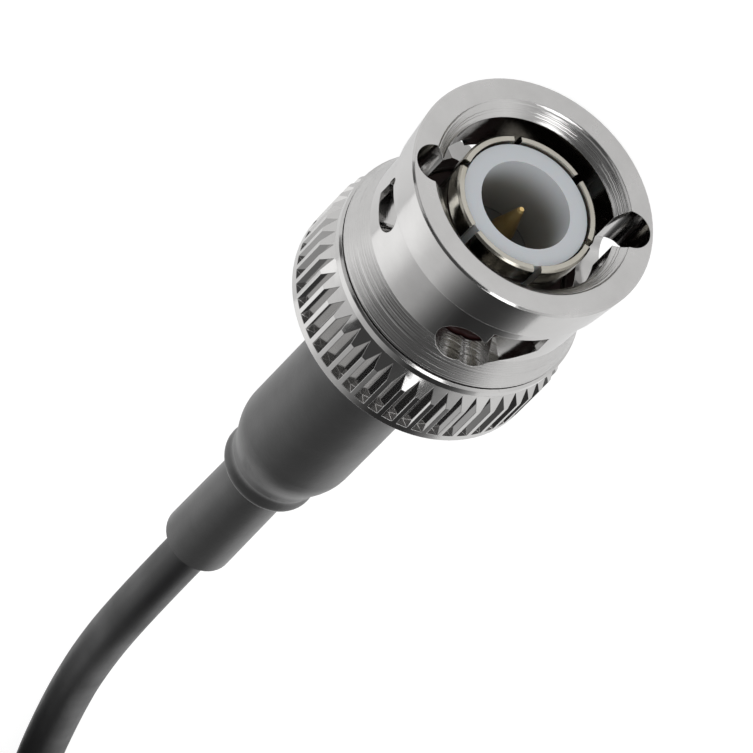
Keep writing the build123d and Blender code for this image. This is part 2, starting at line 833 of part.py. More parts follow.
# Silver wires: one in the space round the stem, one inside the stem down to the bulb
wire_start = shaft_start - potting_long / 2
outer_wire = bored(silver_r, spot(silver_side, 0, wire_start), (0, 1, 0), silver_long)
save(place * outer_wire, "reference_wire")
inner_wire = rod(silver_r, wire_start, bulb_y + bulb_in_r - inner_silver_short)
save(place * inner_wire, "measuring_wire")

# Storage cap: a clear cup that slides over the tip, with fine grooves round its collar
cap_start = shaft_end - cap_cover_long
cap_end = shaft_end + cap_room
cap_r = shaft_r + cap_rise
collar_end_y = cap_start + cap_collar_long
cap_hole_r = shaft_r + run_fit
chamber_r = cap_r - cap_wall
ring_middle = cap_start + cap_collar_long / 2
ring_out_r = shaft_r + cap_ring_fit + 2 * cap_ring_r
cap = turned([
    (cap_hole_r, cap_start),
    (cap_r - cap_edge, cap_start),
    (cap_r, cap_start + cap_edge),
    (cap_r, cap_end - cap_edge),
    (cap_r - cap_edge, cap_end),
    (0, cap_end),
    (0, cap_end - cap_end_wall),
    (chamber_r, cap_end - cap_end_wall),
    (chamber_r, collar_end_y),
    (cap_hole_r, collar_end_y),
    (cap_hole_r, ring_middle + cap_ring_r + seat_fit),
    (ring_out_r + seat_fit, ring_middle + cap_ring_r + seat_fit),
    (ring_out_r + seat_fit, ring_middle - cap_ring_r - seat_fit),
    (cap_hole_r, ring_middle - cap_ring_r - seat_fit),
])
groove_start = cap_start + (cap_collar_long + cap_edge - cap_groove_long) / 2
for i in range(cap_groove_count):
    start = spot(cap_r, 360 * (i + 0.5) / cap_groove_count, groove_start)
    cap -= bored(cap_groove_r, start, (0, 1, 0), cap_groove_long)
save(place * cap, "storage_cap")
ring_circle = Pos(shaft_r + cap_ring_fit + cap_ring_r, ring_middle) * Circle(cap_ring_r)
save(place * revolve(ring_circle, Axis.Y, 360), "cap_ring")

print("electrode axis x", round(electrode_side, 3), "z", round(axis_z, 3))
print("hank middle", round(hank_x, 3), round(hank_y, 3), "boot", round(boot_front, 2), "cap end", round(cap_end, 2))
print("cap start", round(cap_start, 3), "tip", round(shaft_end, 3), "ring", round(ring_middle, 3))
for p in lead_points + tail_points:
    print([round(v, 4) for v in p])
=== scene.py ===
import math

import bmesh
import bpy
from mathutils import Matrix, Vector


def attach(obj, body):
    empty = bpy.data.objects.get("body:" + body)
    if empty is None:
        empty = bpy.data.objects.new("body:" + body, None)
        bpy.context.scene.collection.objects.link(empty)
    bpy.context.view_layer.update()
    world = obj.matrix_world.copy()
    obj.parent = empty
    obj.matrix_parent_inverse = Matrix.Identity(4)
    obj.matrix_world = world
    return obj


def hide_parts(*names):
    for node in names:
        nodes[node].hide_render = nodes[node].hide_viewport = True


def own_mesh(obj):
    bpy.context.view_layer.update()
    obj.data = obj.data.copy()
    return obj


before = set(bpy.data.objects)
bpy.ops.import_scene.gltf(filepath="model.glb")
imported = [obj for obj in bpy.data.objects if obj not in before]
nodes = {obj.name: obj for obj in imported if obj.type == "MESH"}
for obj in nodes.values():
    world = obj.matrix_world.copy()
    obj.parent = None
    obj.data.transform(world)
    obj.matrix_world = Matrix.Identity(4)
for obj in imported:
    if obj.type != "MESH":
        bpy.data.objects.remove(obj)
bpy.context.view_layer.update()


# Connector body and crimp ferrule: turned brass, nickel plated. The plug is built on the
# body, which has a flange, a journal for the nut and a stem that the ferrule is crimped
# over. Only the flange can be glimpsed, through the nut's windows.
def linear(colour):
    """An sRGB colour such as "#c8c4bc" as the linear values that a shader takes."""
    parts = [int(colour[i:i + 2], 16) / 255 for i in (1, 3, 5)]
    return [p / 12.92 if p < 0.04045 else ((p + 0.055) / 1.055) ** 2.4 for p in parts] + [1.0]


def add(tree, kind, values, links=None):
    """Adds one shader node with its settings, its sockets' values and its links."""
    node = tree.nodes.new("ShaderNode" + kind)
    for key, value in values.items():
        if isinstance(key, str) and hasattr(node, key):
            setattr(node, key, value)
        else:
            node.inputs[key].default_value = value
    for key, socket in (links or {}).items():
        tree.links.new(socket, node.inputs[key])
    return node


def new_material(name, values):
    """A material with one Principled shader, set to these values."""
    made = bpy.data.materials.new(name)
    made.use_nodes = True
    shader = made.node_tree.nodes["Principled BSDF"]
    for key, value in values.items():
        shader.inputs[key].default_value = value
    return made.node_tree, shader, made


def finish_nodes(material, *names):
    """Gives these CAD nodes one finish."""
    for name in names:
        mesh = nodes[name].data
        mesh.materials.clear()
        mesh.materials.append(material)


def turned_place(tree):
    """A point's place, its distance from the plug's axis, how far it is behind the nut's
    face, and a count that goes on along the turned surface, chamfers too."""
    along_weight = 1.7
    place = add(tree, "TexCoord", {}).outputs["Object"]
    flat = add(tree, "VectorMath", {"operation": "MULTIPLY", 1: (1, 0, 1)}, {0: place})
    length = add(tree, "VectorMath", {"operation": "LENGTH"}, {0: flat.outputs[0]})
    radius = length.outputs["Value"]
    along = add(tree, "SeparateXYZ", {}, {0: place}).outputs["Y"]
    count = add(
        tree, "Math", {"operation": "MULTIPLY_ADD", 1: along_weight}, {0: along, 2: radius}
    ).outputs[0]
    return place, radius, along, count


# Nickel plate on turned brass: the tool's rings, 0.08 mm apart, show through the thin
# plate as fine lines, and the plate is a little dull where it was handled.
tree, shader, nickel_body = new_material(
    "nickel plate on turned brass", {"Base Color": linear("#c6c2bb"), "Metallic": 1.0}
)
place, _, _, count = turned_place(tree)
rings = add(
    tree, "TexNoise", {"noise_dimensions": "1D", "Scale": 1 / 0.00008, "Detail": 2.0}, {"W": count}
)
smudge = add(tree, "TexNoise", {"Scale": 1 / 0.002, "Detail": 3.0}, {"Vector": place})
dull = add(
    tree, "MapRange", {"From Min": 0.35, "From Max": 0.7, "To Min": 0.16, "To Max": 0.3},
    {0: smudge.outputs[0]},
)
tree.links.new(dull.outputs[0], shader.inputs["Roughness"])
bump = add(tree, "Bump", {"Strength": 0.12, "Distance": 0.00002}, {"Height": rings.outputs[0]})
tree.links.new(bump.outputs[0], shader.inputs["Normal"])
finish_nodes(nickel_body, "connector_body", "crimp_ferrule")

# Insulators: white fluoropolymer turned from rod. The front one is a cup round the pin,
# pressed into the contact. The rear one holds the solder cup inside the body.
cup_mouth = 0.00095
cup_shade = 0.0036
cup_floor = 0.0055
cup_radius = 0.00252

# White fluoropolymer: waxy, so that its rim glows softly, and nearly without shine. The deep
# cup lets little light out, so shade is painted into its inside: grey growing towards the floor,
# and the floor painted dark grey.
tree, shader, white_ptfe = new_material(
    "white fluoropolymer turned",
    {"Roughness": 0.38, "IOR": 1.38, "Subsurface Weight": 0.15, "Subsurface Scale": 0.0004},
)
_, radius, along, count = turned_place(tree)
# painted shade: the cup's inside is greyed more the deeper it goes
depth = add(
    tree, "MapRange",
    {"From Min": cup_mouth, "From Max": cup_shade, "interpolation_type": "SMOOTHSTEP"}, {0: along},
)
inside = add(tree, "Math", {"operation": "LESS_THAN", 1: cup_radius}, {0: radius})
painted_cup_shade = add(tree, "Math", {"operation": "MULTIPLY"}, {0: depth.outputs[0], 1: inside.outputs[0]})
tone = add(
    tree, "Mix", {"data_type": "RGBA", 6: linear("#ccd0d4"), 7: linear("#8f8e8a")},
    {"Factor": painted_cup_shade.outputs[0]},
)
# painted shade: the cup's floor is painted dark grey
rear = add(tree, "Math", {"operation": "GREATER_THAN", 1: cup_floor}, {0: along})
painted_floor_shade = add(tree, "Math", {"operation": "MULTIPLY"}, {0: rear.outputs[0], 1: inside.outputs[0]})
tone = add(
    tree, "Mix", {"data_type": "RGBA", 7: linear("#5f5e5b")},
    {"Factor": painted_floor_shade.outputs[0], 6: tone.outputs[2]},
)
tree.links.new(tone.outputs[2], shader.inputs["Base Color"])
rings = add(
    tree, "TexNoise", {"noise_dimensions": "1D", "Scale": 1 / 0.00012, "Detail": 2.0}, {"W": count}
)
bump = add(tree, "Bump", {"Strength": 0.15, "Distance": 0.00002}, {"Height": rings.outputs[0]})
tree.links.new(bump.outputs[0], shader.inputs["Normal"])
finish_nodes(white_ptfe, "front_insulator", "rear_insulator")

# Centre contact: a brass pin with a turned cone at its tip, plated with gold. Its root
# is held in the front insulator and its hollow end is soldered to the lead's wire.

# Gold plate on turned brass: a warm satin yellow, with rings 0.06 mm apart, that is paler
# where the plate is worn.
tree, shader, gold = new_material(
    "gold plate on turned brass", {"Metallic": 1.0, "Roughness": 0.24}
)
place, _, _, count = turned_place(tree)
wear = add(tree, "TexNoise", {"Scale": 1 / 0.0006, "Detail": 3.0}, {"Vector": place})
tone = add(
    tree, "Mix", {"data_type": "RGBA", 6: linear("#c9a667"), 7: linear("#e6cc92")},
    {"Factor": wear.outputs[0]},
)
tree.links.new(tone.outputs[2], shader.inputs["Base Color"])
rings = add(
    tree, "TexNoise", {"noise_dimensions": "1D", "Scale": 1 / 0.00006, "Detail": 2.0}, {"W": count}
)
bump = add(tree, "Bump", {"Strength": 0.2, "Distance": 0.00001}, {"Height": rings.outputs[0]})
tree.links.new(bump.outputs[0], shader.inputs["Normal"])
finish_nodes(gold, "centre_contact")

# Outer contact: a turned bronze tube slit into six fingers that press against the jack.
# It is plated, and pressed onto the front of the body.

# Silver plate on spring bronze: warmer than the nut, with patches of light tarnish, and
# with rounded edges that catch a line of light.
tree, shader, contact_plate = new_material("silver plate on spring bronze", {"Metallic": 1.0})
place, _, _, count = turned_place(tree)
tarnish = add(tree, "TexNoise", {"Scale": 1 / 0.0015, "Detail": 4.0}, {"Vector": place})
tone = add(
    tree, "Mix", {"data_type": "RGBA", 6: linear("#c6c3bb"), 7: linear("#aaa598")},
    {"Factor": tarnish.outputs[0]},
)
tree.links.new(tone.outputs[2], shader.inputs["Base Color"])
dull = add(
    tree, "MapRange", {"From Min": 0.3, "From Max": 0.7, "To Min": 0.1, "To Max": 0.24},
    {0: tarnish.outputs[0]},
)
tree.links.new(dull.outputs[0], shader.inputs["Roughness"])
rounded = add(tree, "Bevel", {"samples": 4, "Radius": 0.00005})
rings = add(
    tree, "TexNoise", {"noise_dimensions": "1D", "Scale": 1 / 0.0001, "Detail": 2.0}, {"W": count}
)
bump = add(
    tree, "Bump", {"Strength": 0.15, "Distance": 0.00001},
    {"Height": rings.outputs[0], "Normal": rounded.outputs[0]},
)
tree.links.new(bump.outputs[0], shader.inputs["Normal"])
finish_nodes(contact_plate, "outer_contact")

# Gasket: a dark red ring of moulded silicone rubber, in front of the body's flange, that
# seals against the jack. It is matt, and only its colour is seen through the nut.
tree, shader, red_silicone = new_material(
    "moulded silicone rubber", {"Base Color": linear("#260908"), "Roughness": 0.5, "IOR": 1.43}
)
place = add(tree, "TexCoord", {}).outputs["Object"]
grain = add(tree, "TexNoise", {"Scale": 1 / 0.0002, "Detail": 2.0}, {"Vector": place})
bump = add(tree, "Bump", {"Strength": 0.1, "Distance": 0.00002}, {"Height": grain.outputs[0]})
tree.links.new(bump.outputs[0], shader.inputs["Normal"])
finish_nodes(red_silicone, "gasket")

# Washers and retaining ring: spring steel, stamped and hardened, dull grey. The wave
# washer pushes the nut back, and the open ring, sprung into its groove, keeps the nut on.
tree, shader, spring_steel = new_material(
    "stamped spring steel", {"Base Color": linear("#8f8d8a"), "Metallic": 1.0, "Roughness": 0.35}
)
place = add(tree, "TexCoord", {}).outputs["Object"]
grain = add(tree, "TexNoise", {"Scale": 1 / 0.0003, "Detail": 4.0}, {"Vector": place})
bump = add(tree, "Bump", {"Strength": 0.15, "Distance": 0.00002}, {"Height": grain.outputs[0]})
tree.links.new(bump.outputs[0], shader.inputs["Normal"])
finish_nodes(spring_steel, "wave_washer", "thrust_washer", "retaining_ring")

# the real washer flattens towards the body's flange as the nut is drawn forward; a merged
# copy of its own mesh stands for it
same_spot = 0.000001
washer_mesh = nodes["wave_washer"].data.copy()
merged = bmesh.new()
merged.from_mesh(washer_mesh)
bmesh.ops.remove_doubles(merged, verts=merged.verts, dist=same_spot)
merged.to_mesh(washer_mesh)
merged.free()
pressed_washer = bpy.data.objects.new("pressed_wave_washer", washer_mesh)
bpy.context.scene.collection.objects.link(pressed_washer)
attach(pressed_washer, "plug_and_electrode")
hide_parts("wave_washer")
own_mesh(pressed_washer)

# Coupling nut: turned from brass bar, knurled, milled for the bayonet track and plated
# with bright nickel. The retaining ring keeps it on the body, where it turns freely.
face_end = 0.00003
mouth_radius = 0.00557
mouth_end = 0.00075
barrel_end = 0.00584
flare_end = 0.00786
flare_share = 0.5
marks_rough = 0.2

# Bright nickel plate on turned brass: the face is satin, the barrel, the collar and the
# heel mirror the room, and the mouth and the flare keep the tool's coarse rings, drawn
# 0.25 mm apart so that they show.
tree, shader, nickel = new_material("bright nickel plate on turned brass", {"Metallic": 1.0})
place, radius, along, count = turned_place(tree)
face = add(tree, "Math", {"operation": "LESS_THAN", 1: face_end}, {0: along}).outputs[0]
hollow = add(tree, "Math", {"operation": "LESS_THAN", 1: mouth_radius}, {0: radius}).outputs[0]
in_front = add(tree, "Math", {"operation": "LESS_THAN", 1: mouth_end}, {0: along}).outputs[0]
mouth = add(tree, "Math", {"operation": "MULTIPLY"}, {0: hollow, 1: in_front}).outputs[0]
past_barrel = add(tree, "Math", {"operation": "GREATER_THAN", 1: barrel_end}, {0: along}).outputs[0]
before_collar = add(tree, "Math", {"operation": "LESS_THAN", 1: flare_end}, {0: along}).outputs[0]
flare = add(tree, "Math", {"operation": "MULTIPLY"}, {0: past_barrel, 1: before_collar}).outputs[0]
marked = add(tree, "Math", {"operation": "MAXIMUM"}, {0: mouth, 1: flare}).outputs[0]
smudge = add(
    tree, "TexNoise", {"Scale": 1 / 0.0025, "Detail": 4.0, "Roughness": 0.6}, {"Vector": place}
).outputs[0]
tone = add(
    tree, "Mix", {"data_type": "RGBA", 6: linear("#cecdcc"), 7: linear("#b9b8b7")},
    {"Factor": smudge},
)
tree.links.new(tone.outputs[2], shader.inputs["Base Color"])
polished = add(
    tree, "MapRange", {"From Min": 0.35, "From Max": 0.7, "To Min": 0.07, "To Max": 0.14},
    {0: smudge},
)
satin = add(
    tree, "MapRange", {"From Min": 0.35, "From Max": 0.7, "To Min": 0.26, "To Max": 0.4},
    {0: smudge},
)
rough = add(tree, "Mix", {3: marks_rough}, {"Factor": marked, 2: polished.outputs[0]})
rough = add(tree, "Mix", {}, {"Factor": face, 2: rough.outputs[0], 3: satin.outputs[0]})
tree.links.new(rough.outputs[0], shader.inputs["Roughness"])
fine = add(
    tree, "TexNoise", {"noise_dimensions": "1D", "Scale": 1 / 0.00005, "Detail": 2.0}, {"W": count}
).outputs[0]
coarse = add(
    tree, "TexNoise",
    {"noise_dimensions": "1D", "Scale": 1 / 0.00025, "Detail": 3.0, "Roughness": 0.65},
    {"W": count},
).outputs[0]
rounded = add(tree, "Bevel", {"samples": 8, "Radius": 0.00004})
bump = add(
    tree, "Bump", {"Strength": 0.05, "Distance": 0.00001},
    {"Height": fine, "Normal": rounded.outputs[0]},
)
depth = add(tree, "Math", {"operation": "MULTIPLY_ADD", 1: flare_share}, {0: flare, 2: mouth})
marks = add(tree, "Math", {"operation": "MULTIPLY"}, {0: coarse, 1: depth.outputs[0]})
bump = add(
    tree, "Bump", {"Strength": 0.5, "Distance": 0.0001},
    {"Height": marks.outputs[0], "Normal": bump.outputs[0]},
)
tree.links.new(bump.outputs[0], shader.inputs["Normal"])
finish_nodes(nickel, "coupling_nut")

# Stripped end of the lead: a tinned copper braid, flared over the stem, round a core of
# clear polyethylene with a bare wire. All of it is inside the sleeve.

# Tinned copper braid: dull pinkish silver, with crossing strands 0.25 mm wide.
tree, shader, tinned = new_material(
    "tinned copper braid", {"Base Color": linear("#b9a592"), "Metallic": 1.0, "Roughness": 0.35}
)
place = add(tree, "TexCoord", {}).outputs["Object"]
strands = add(tree, "TexVoronoi", {"Scale": 1 / 0.00025}, {"Vector": place})
bump = add(tree, "Bump", {"Strength": 0.5, "Distance": 0.00005}, {"Height": strands.outputs[0]})
tree.links.new(bump.outputs[0], shader.inputs["Normal"])
finish_nodes(tinned, "cable_braid")

# Extruded polyethylene: a milky off-white with a waxy skin.
tree, shader, core_plastic = new_material(
    "extruded polyethylene", {"Base Color": linear("#e6e2d6"), "Roughness": 0.4, "IOR": 1.51}
)
place = add(tree, "TexCoord", {}).outputs["Object"]
grain = add(tree, "TexNoise", {"Scale": 1 / 0.0005, "Detail": 2.0}, {"Vector": place})
bump = add(tree, "Bump", {"Strength": 0.1, "Distance": 0.00002}, {"Height": grain.outputs[0]})
tree.links.new(bump.outputs[0], shader.inputs["Normal"])
finish_nodes(core_plastic, "cable_core")

# Heat-shrink sleeve: a black polyolefin tube, shrunk with hot air over the rear barrel,
# the crimped ferrule and the lead, so that it follows their steps.

# Shrunk polyolefin: nearly matt, with a faint soft shine on the side that faces the
# light, slow waves left by the hot air and a fine leathery grain.
tree, shader, heat_shrink = new_material(
    "shrunk polyolefin tube",
    {
        "Base Color": linear("#191919"), "IOR": 1.5, "Sheen Weight": 0.2,
        "Coat Weight": 0.5, "Coat Roughness": 0.28,
    },
)
place = add(tree, "TexCoord", {}).outputs["Object"]
soft = add(tree, "TexNoise", {"Scale": 1 / 0.0022, "Detail": 2.0}, {"Vector": place})
grain = add(tree, "TexNoise", {"Scale": 1 / 0.00018, "Detail": 2.0}, {"Vector": place})
dull = add(
    tree, "MapRange", {"From Min": 0.3, "From Max": 0.7, "To Min": 0.5, "To Max": 0.62},
    {0: soft.outputs[0]},
)
tree.links.new(dull.outputs[0], shader.inputs["Roughness"])
bump = add(tree, "Bump", {"Strength": 0.5, "Distance": 0.00012}, {"Height": soft.outputs[0]})
bump = add(
    tree, "Bump", {"Strength": 0.4, "Distance": 0.00002},
    {"Height": grain.outputs[0], "Normal": bump.outputs[0]},
)
tree.links.new(bump.outputs[0], shader.inputs["Normal"])
finish_nodes(heat_shrink, "heat_shrink_sleeve")

# Lead: a thin coaxial cable in a black PVC jacket, with a satin skin. It leaves the
# sleeve, comes down to the bench, is folded to and fro in a hank of two rows side by side
# and four turns high, and ends in the electrode's boot.
lead_width = 0.0025
bench_level = -0.00712
first_layer = bench_level + lead_width / 2
run = [
    (0, 0.03885, 0), (0, 0.04705, 0), (-0.00035, 0.05525, -0.0016), (-0.00115, 0.06345, -0.004),
    (-0.0024, 0.07165, -0.00587), (-0.005, 0.07985, -0.00587),
]

# the hank, counted in the curve's points: eight on each straight side and six on each
# fold, with the points where the lead goes over to the next row or the next layer
hank_middle = 0.0042
hank_near = 0.0845
hank_run = 0.0375
outer_fold = 0.01002
inner_fold = 0.0075
side_steps = 8
fold_steps = 6
turn_steps = 2 * (side_steps + fold_steps)
goes_inward = (24, 128)
goes_outward = (76, 180)
goes_up = (50, 102, 154)
change_steps = 2
hank_steps = 204
tie_steps = (3, 4)
tie_draws_in = 0.00035
tie_lifts = 0.00034
tie_presses = 0.00012

# the tail: off the top layer and down into the boot
tail_steps = 5
tail_x, tail_y, tail_z = -0.00582, 0.122, 0.00163
tail_side = 0.00672
tail_step = 0.0033
tail_drop = 0.00075
boot_mouth = (0.0009, 0.14, 0.00088)
tail = []
for i in range(tail_steps + 1):
    share = (1 - math.cos(math.pi * i / tail_steps)) / 2
    tail.append((tail_x + tail_side * share, tail_y + tail_step * i, tail_z - tail_drop * share))
tail.append(boot_mouth)


def passed(i, starts):
    """How many of these changes the lead has made, with the one under way as a share."""
    return sum(min(max((i - start) / change_steps, 0), 1) for start in starts)


def hank_point(i):
    """A point of the hank: up the left side, round the far fold, back down the right side
    and round the near fold, with a change of row or of layer in each turn."""
    inward = passed(i, goes_inward) - passed(i, goes_outward)
    half = outer_fold - (outer_fold - inner_fold) * inward
    layer = passed(i, goes_up)
    height = first_layer + lead_width * layer
    side, step = divmod(i % turn_steps, side_steps + fold_steps)
    # the way back is the way out turned half round
    way = 1 - 2 * side
    # the tie draws the turns together
    if step in tie_steps:
        half -= tie_draws_in
        height += tie_lifts - tie_presses * layer
    if step < side_steps:
        x = -half
        y = hank_run * ((step + 0.5) / side_steps - 0.5)
    else:
        angle = math.pi - math.pi * (step - side_steps + 0.5) / fold_steps
        # a spline's points stand outside its own circle
        outside = half / math.cos(math.pi / fold_steps / 2)
        x = outside * math.cos(angle)
        y = hank_run / 2 + outside * math.sin(angle)
    return (hank_middle + way * x, hank_near + hank_run / 2 + way * y, height)


curve = bpy.data.curves.new("lead", "CURVE")
curve.dimensions = "3D"
curve.bevel_depth = lead_width / 2
curve.bevel_resolution = 6
curve.resolution_u = 6
curve.use_fill_caps = True
spline = curve.splines.new("NURBS")
lead_points = run + [hank_point(i) for i in range(hank_steps)] + tail
spline.points.add(len(lead_points) - 1)
for point, spot in zip(spline.points, lead_points):
    point.co = (*spot, 1)
spline.order_u = 3
spline.use_endpoint_u = True
lead = bpy.data.objects.new("lead", curve)
bpy.context.scene.collection.objects.link(lead)

# Black PVC, extruded: smooth, with a satin shine that comes and goes a little along it.
tree, shader, jacket = new_material(
    "extruded black PVC", {"Base Color": linear("#161617"), "IOR": 1.53}
)
place = add(tree, "TexCoord", {}).outputs["Object"]
waves = add(tree, "TexNoise", {"Scale": 1 / 0.003, "Detail": 2.0}, {"Vector": place})
grain = add(tree, "TexNoise", {"Scale": 1 / 0.00015, "Detail": 2.0}, {"Vector": place})
dull = add(
    tree, "MapRange", {"From Min": 0.3, "From Max": 0.7, "To Min": 0.36, "To Max": 0.48},
    {0: waves.outputs[0]},
)
tree.links.new(dull.outputs[0], shader.inputs["Roughness"])
bump = add(tree, "Bump", {"Strength": 0.1, "Distance": 0.00002}, {"Height": grain.outputs[0]})
tree.links.new(bump.outputs[0], shader.inputs["Normal"])
lead.data.materials.append(jacket)
finish_nodes(jacket, "cable_jacket_end", "lead_run", "lead_hank", "lead_tail")
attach(lead, "plug_and_electrode")
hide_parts("lead_run", "lead_hank", "lead_tail")

# Tie: a flat band of pale grey rubber, cut from an extruded tube and stretched round the
# middle of the hank. It is matt and slightly grainy.
tree, shader, tie_rubber = new_material(
    "pale rubber band", {"Base Color": linear("#8d8f90"), "Roughness": 0.6, "IOR": 1.52}
)
place = add(tree, "TexCoord", {}).outputs["Object"]
grain = add(tree, "TexNoise", {"Scale": 1 / 0.0004, "Detail": 3.0}, {"Vector": place})
bump = add(tree, "Bump", {"Strength": 0.2, "Distance": 0.00004}, {"Height": grain.outputs[0]})
tree.links.new(bump.outputs[0], shader.inputs["Normal"])
finish_nodes(tie_rubber, "hank_tie")

# Boot: soft black rubber, moulded onto the lead, with ribs that let it bend. Its foot is
# caught behind the end wall of the electrode's head. It is matt, with softened edges.
tree, shader, boot_rubber = new_material(
    "moulded soft rubber", {"Base Color": linear("#1b1c1d"), "Roughness": 0.6, "IOR": 1.52}
)
place = add(tree, "TexCoord", {}).outputs["Object"]
grain = add(tree, "TexNoise", {"Scale": 1 / 0.0003, "Detail": 3.0}, {"Vector": place})
rounded = add(tree, "Bevel", {"samples": 4, "Radius": 0.0002})
bump = add(
    tree, "Bump", {"Strength": 0.2, "Distance": 0.00004},
    {"Height": grain.outputs[0], "Normal": rounded.outputs[0]},
)
tree.links.new(bump.outputs[0], shader.inputs["Normal"])
finish_nodes(boot_rubber, "cable_boot")

# Head: a hollow cap moulded in black polypropylene with flutes for the fingers, glued
# over the rear end of the shaft. It is satin, with a fine grain and softened edges.
tree, shader, head_plastic = new_material(
    "moulded polypropylene", {"Base Color": linear("#242528"), "IOR": 1.49}
)
place = add(tree, "TexCoord", {}).outputs["Object"]
grain = add(tree, "TexNoise", {"Scale": 1 / 0.0004, "Detail": 3.0}, {"Vector": place})
dull = add(
    tree, "MapRange", {"From Min": 0.3, "From Max": 0.7, "To Min": 0.36, "To Max": 0.5},
    {0: grain.outputs[0]},
)
tree.links.new(dull.outputs[0], shader.inputs["Roughness"])
rounded = add(tree, "Bevel", {"samples": 4, "Radius": 0.0003})
bump = add(
    tree, "Bump", {"Strength": 0.15, "Distance": 0.00004},
    {"Height": grain.outputs[0], "Normal": rounded.outputs[0]},
)
tree.links.new(bump.outputs[0], shader.inputs["Normal"])
finish_nodes(head_plastic, "electrode_head")

# Soft rings: one round the shaft against the head, one inside the cap's collar that
# grips the shaft and keeps the storage solution in. Both are red silicone.
finish_nodes(red_silicone, "head_ring", "cap_ring")

# Shaft: a tube of filled epoxy, extruded and ground, with its open end slotted into a
# guard round the glass bulb. It is a satin dark grey, with faint streaks along it.
tree, shader, epoxy = new_material(
    "ground epoxy tube", {"Base Color": linear("#2d2e31"), "IOR": 1.55}
)
place = add(tree, "TexCoord", {}).outputs["Object"]
grain = add(tree, "TexNoise", {"Scale": 1 / 0.00025, "Detail": 3.0}, {"Vector": place})
along_it = add(tree, "Mapping", {"Scale": (1, 0.05, 1)}, {"Vector": place})
drawn = add(tree, "TexNoise", {"Scale": 1 / 0.0006, "Detail": 3.0}, {"Vector": along_it.outputs[0]})
dull = add(
    tree, "MapRange", {"From Min": 0.3, "From Max": 0.7, "To Min": 0.32, "To Max": 0.46},
    {0: drawn.outputs[0]},
)
tree.links.new(dull.outputs[0], shader.inputs["Roughness"])
rounded = add(tree, "Bevel", {"samples": 4, "Radius": 0.0002})
bump = add(
    tree, "Bump", {"Strength": 0.12, "Distance": 0.00003},
    {"Height": grain.outputs[0], "Normal": rounded.outputs[0]},
)
tree.links.new(bump.outputs[0], shader.inputs["Normal"])
finish_nodes(epoxy, "electrode_shaft")

# Glass stem: a drawn tube with a thin bulb blown on its end, which is the part that
# feels the acid. It is clear, with a very faint green tint and slow waves.
tree, shader, glass = new_material(
    "blown glass",
    {"Base Color": linear("#eef6f2"), "Roughness": 0.02, "IOR": 1.5, "Transmission Weight": 1.0},
)
place = add(tree, "TexCoord", {}).outputs["Object"]
waves = add(tree, "TexNoise", {"Scale": 1 / 0.003, "Detail": 1.0}, {"Vector": place})
bump = add(tree, "Bump", {"Strength": 0.08, "Distance": 0.0001}, {"Height": waves.outputs[0]})
tree.links.new(bump.outputs[0], shader.inputs["Normal"])
finish_nodes(glass, "glass_stem")

# Junction: a porous ceramic ring that closes the shaft round the stem and lets the
# reference solution seep out. It is pressed and fired, and quite rough.
tree, shader, ceramic = new_material(
    "fired porous ceramic", {"Base Color": linear("#d9d4c8"), "Roughness": 0.85}
)
place = add(tree, "TexCoord", {}).outputs["Object"]
pores = add(tree, "TexNoise", {"Scale": 1 / 0.0002, "Detail": 4.0}, {"Vector": place})
bump = add(tree, "Bump", {"Strength": 0.5, "Distance": 0.00006}, {"Height": pores.outputs[0]})
tree.links.new(bump.outputs[0], shader.inputs["Normal"])
finish_nodes(ceramic, "reference_junction")

# Potting: cast resin that closes the shaft's rear and holds the stem and the wires. It
# is dark brown, with a soft shine and a wavy skin.
tree, shader, resin = new_material(
    "cast resin", {"Base Color": linear("#2a2320"), "Roughness": 0.35, "IOR": 1.55}
)
place = add(tree, "TexCoord", {}).outputs["Object"]
waves = add(tree, "TexNoise", {"Scale": 1 / 0.0015, "Detail": 2.0}, {"Vector": place})
bump = add(tree, "Bump", {"Strength": 0.2, "Distance": 0.0001}, {"Height": waves.outputs[0]})
tree.links.new(bump.outputs[0], shader.inputs["Normal"])
finish_nodes(resin, "stem_potting")

# Silver wires: drawn silver. One is in the space round the stem and one inside it. The
# salt that coats them leaves dull patches.
tree, shader, silver = new_material(
    "drawn silver wire", {"Base Color": linear("#cfcac2"), "Metallic": 1.0}
)
place = add(tree, "TexCoord", {}).outputs["Object"]
coat = add(tree, "TexNoise", {"Scale": 1 / 0.0008, "Detail": 4.0}, {"Vector": place})
dull = add(
    tree, "MapRange", {"From Min": 0.3, "From Max": 0.7, "To Min": 0.3, "To Max": 0.55},
    {0: coat.outputs[0]},
)
tree.links.new(dull.outputs[0], shader.inputs["Roughness"])
finish_nodes(silver, "reference_wire", "measuring_wire")

# Storage cap: a clear cup moulded in polycarbonate, pushed over the tip, with fine
# grooves round its collar for the fingers. It is glossy, with rounded edges that shine.
tree, shader, clear_plastic = new_material(
    "moulded clear polycarbonate",
    {"Base Color": linear("#eaf0f2"), "IOR": 1.58, "Transmission Weight": 1.0},
)
place = add(tree, "TexCoord", {}).outputs["Object"]
waves = add(tree, "TexNoise", {"Scale": 1 / 0.004, "Detail": 2.0}, {"Vector": place})
dull = add(
    tree, "MapRange", {"From Min": 0.3, "From Max": 0.7, "To Min": 0.04, "To Max": 0.1},
    {0: waves.outputs[0]},
)
tree.links.new(dull.outputs[0], shader.inputs["Roughness"])
rounded = add(tree, "Bevel", {"samples": 4, "Radius": 0.0003})
bump = add(
    tree, "Bump", {"Strength": 0.08, "Distance": 0.0001},
    {"Height": waves.outputs[0], "Normal": rounded.outputs[0]},
)
tree.links.new(bump.outputs[0], shader.inputs["Normal"])
finish_nodes(clear_plastic, "storage_cap")

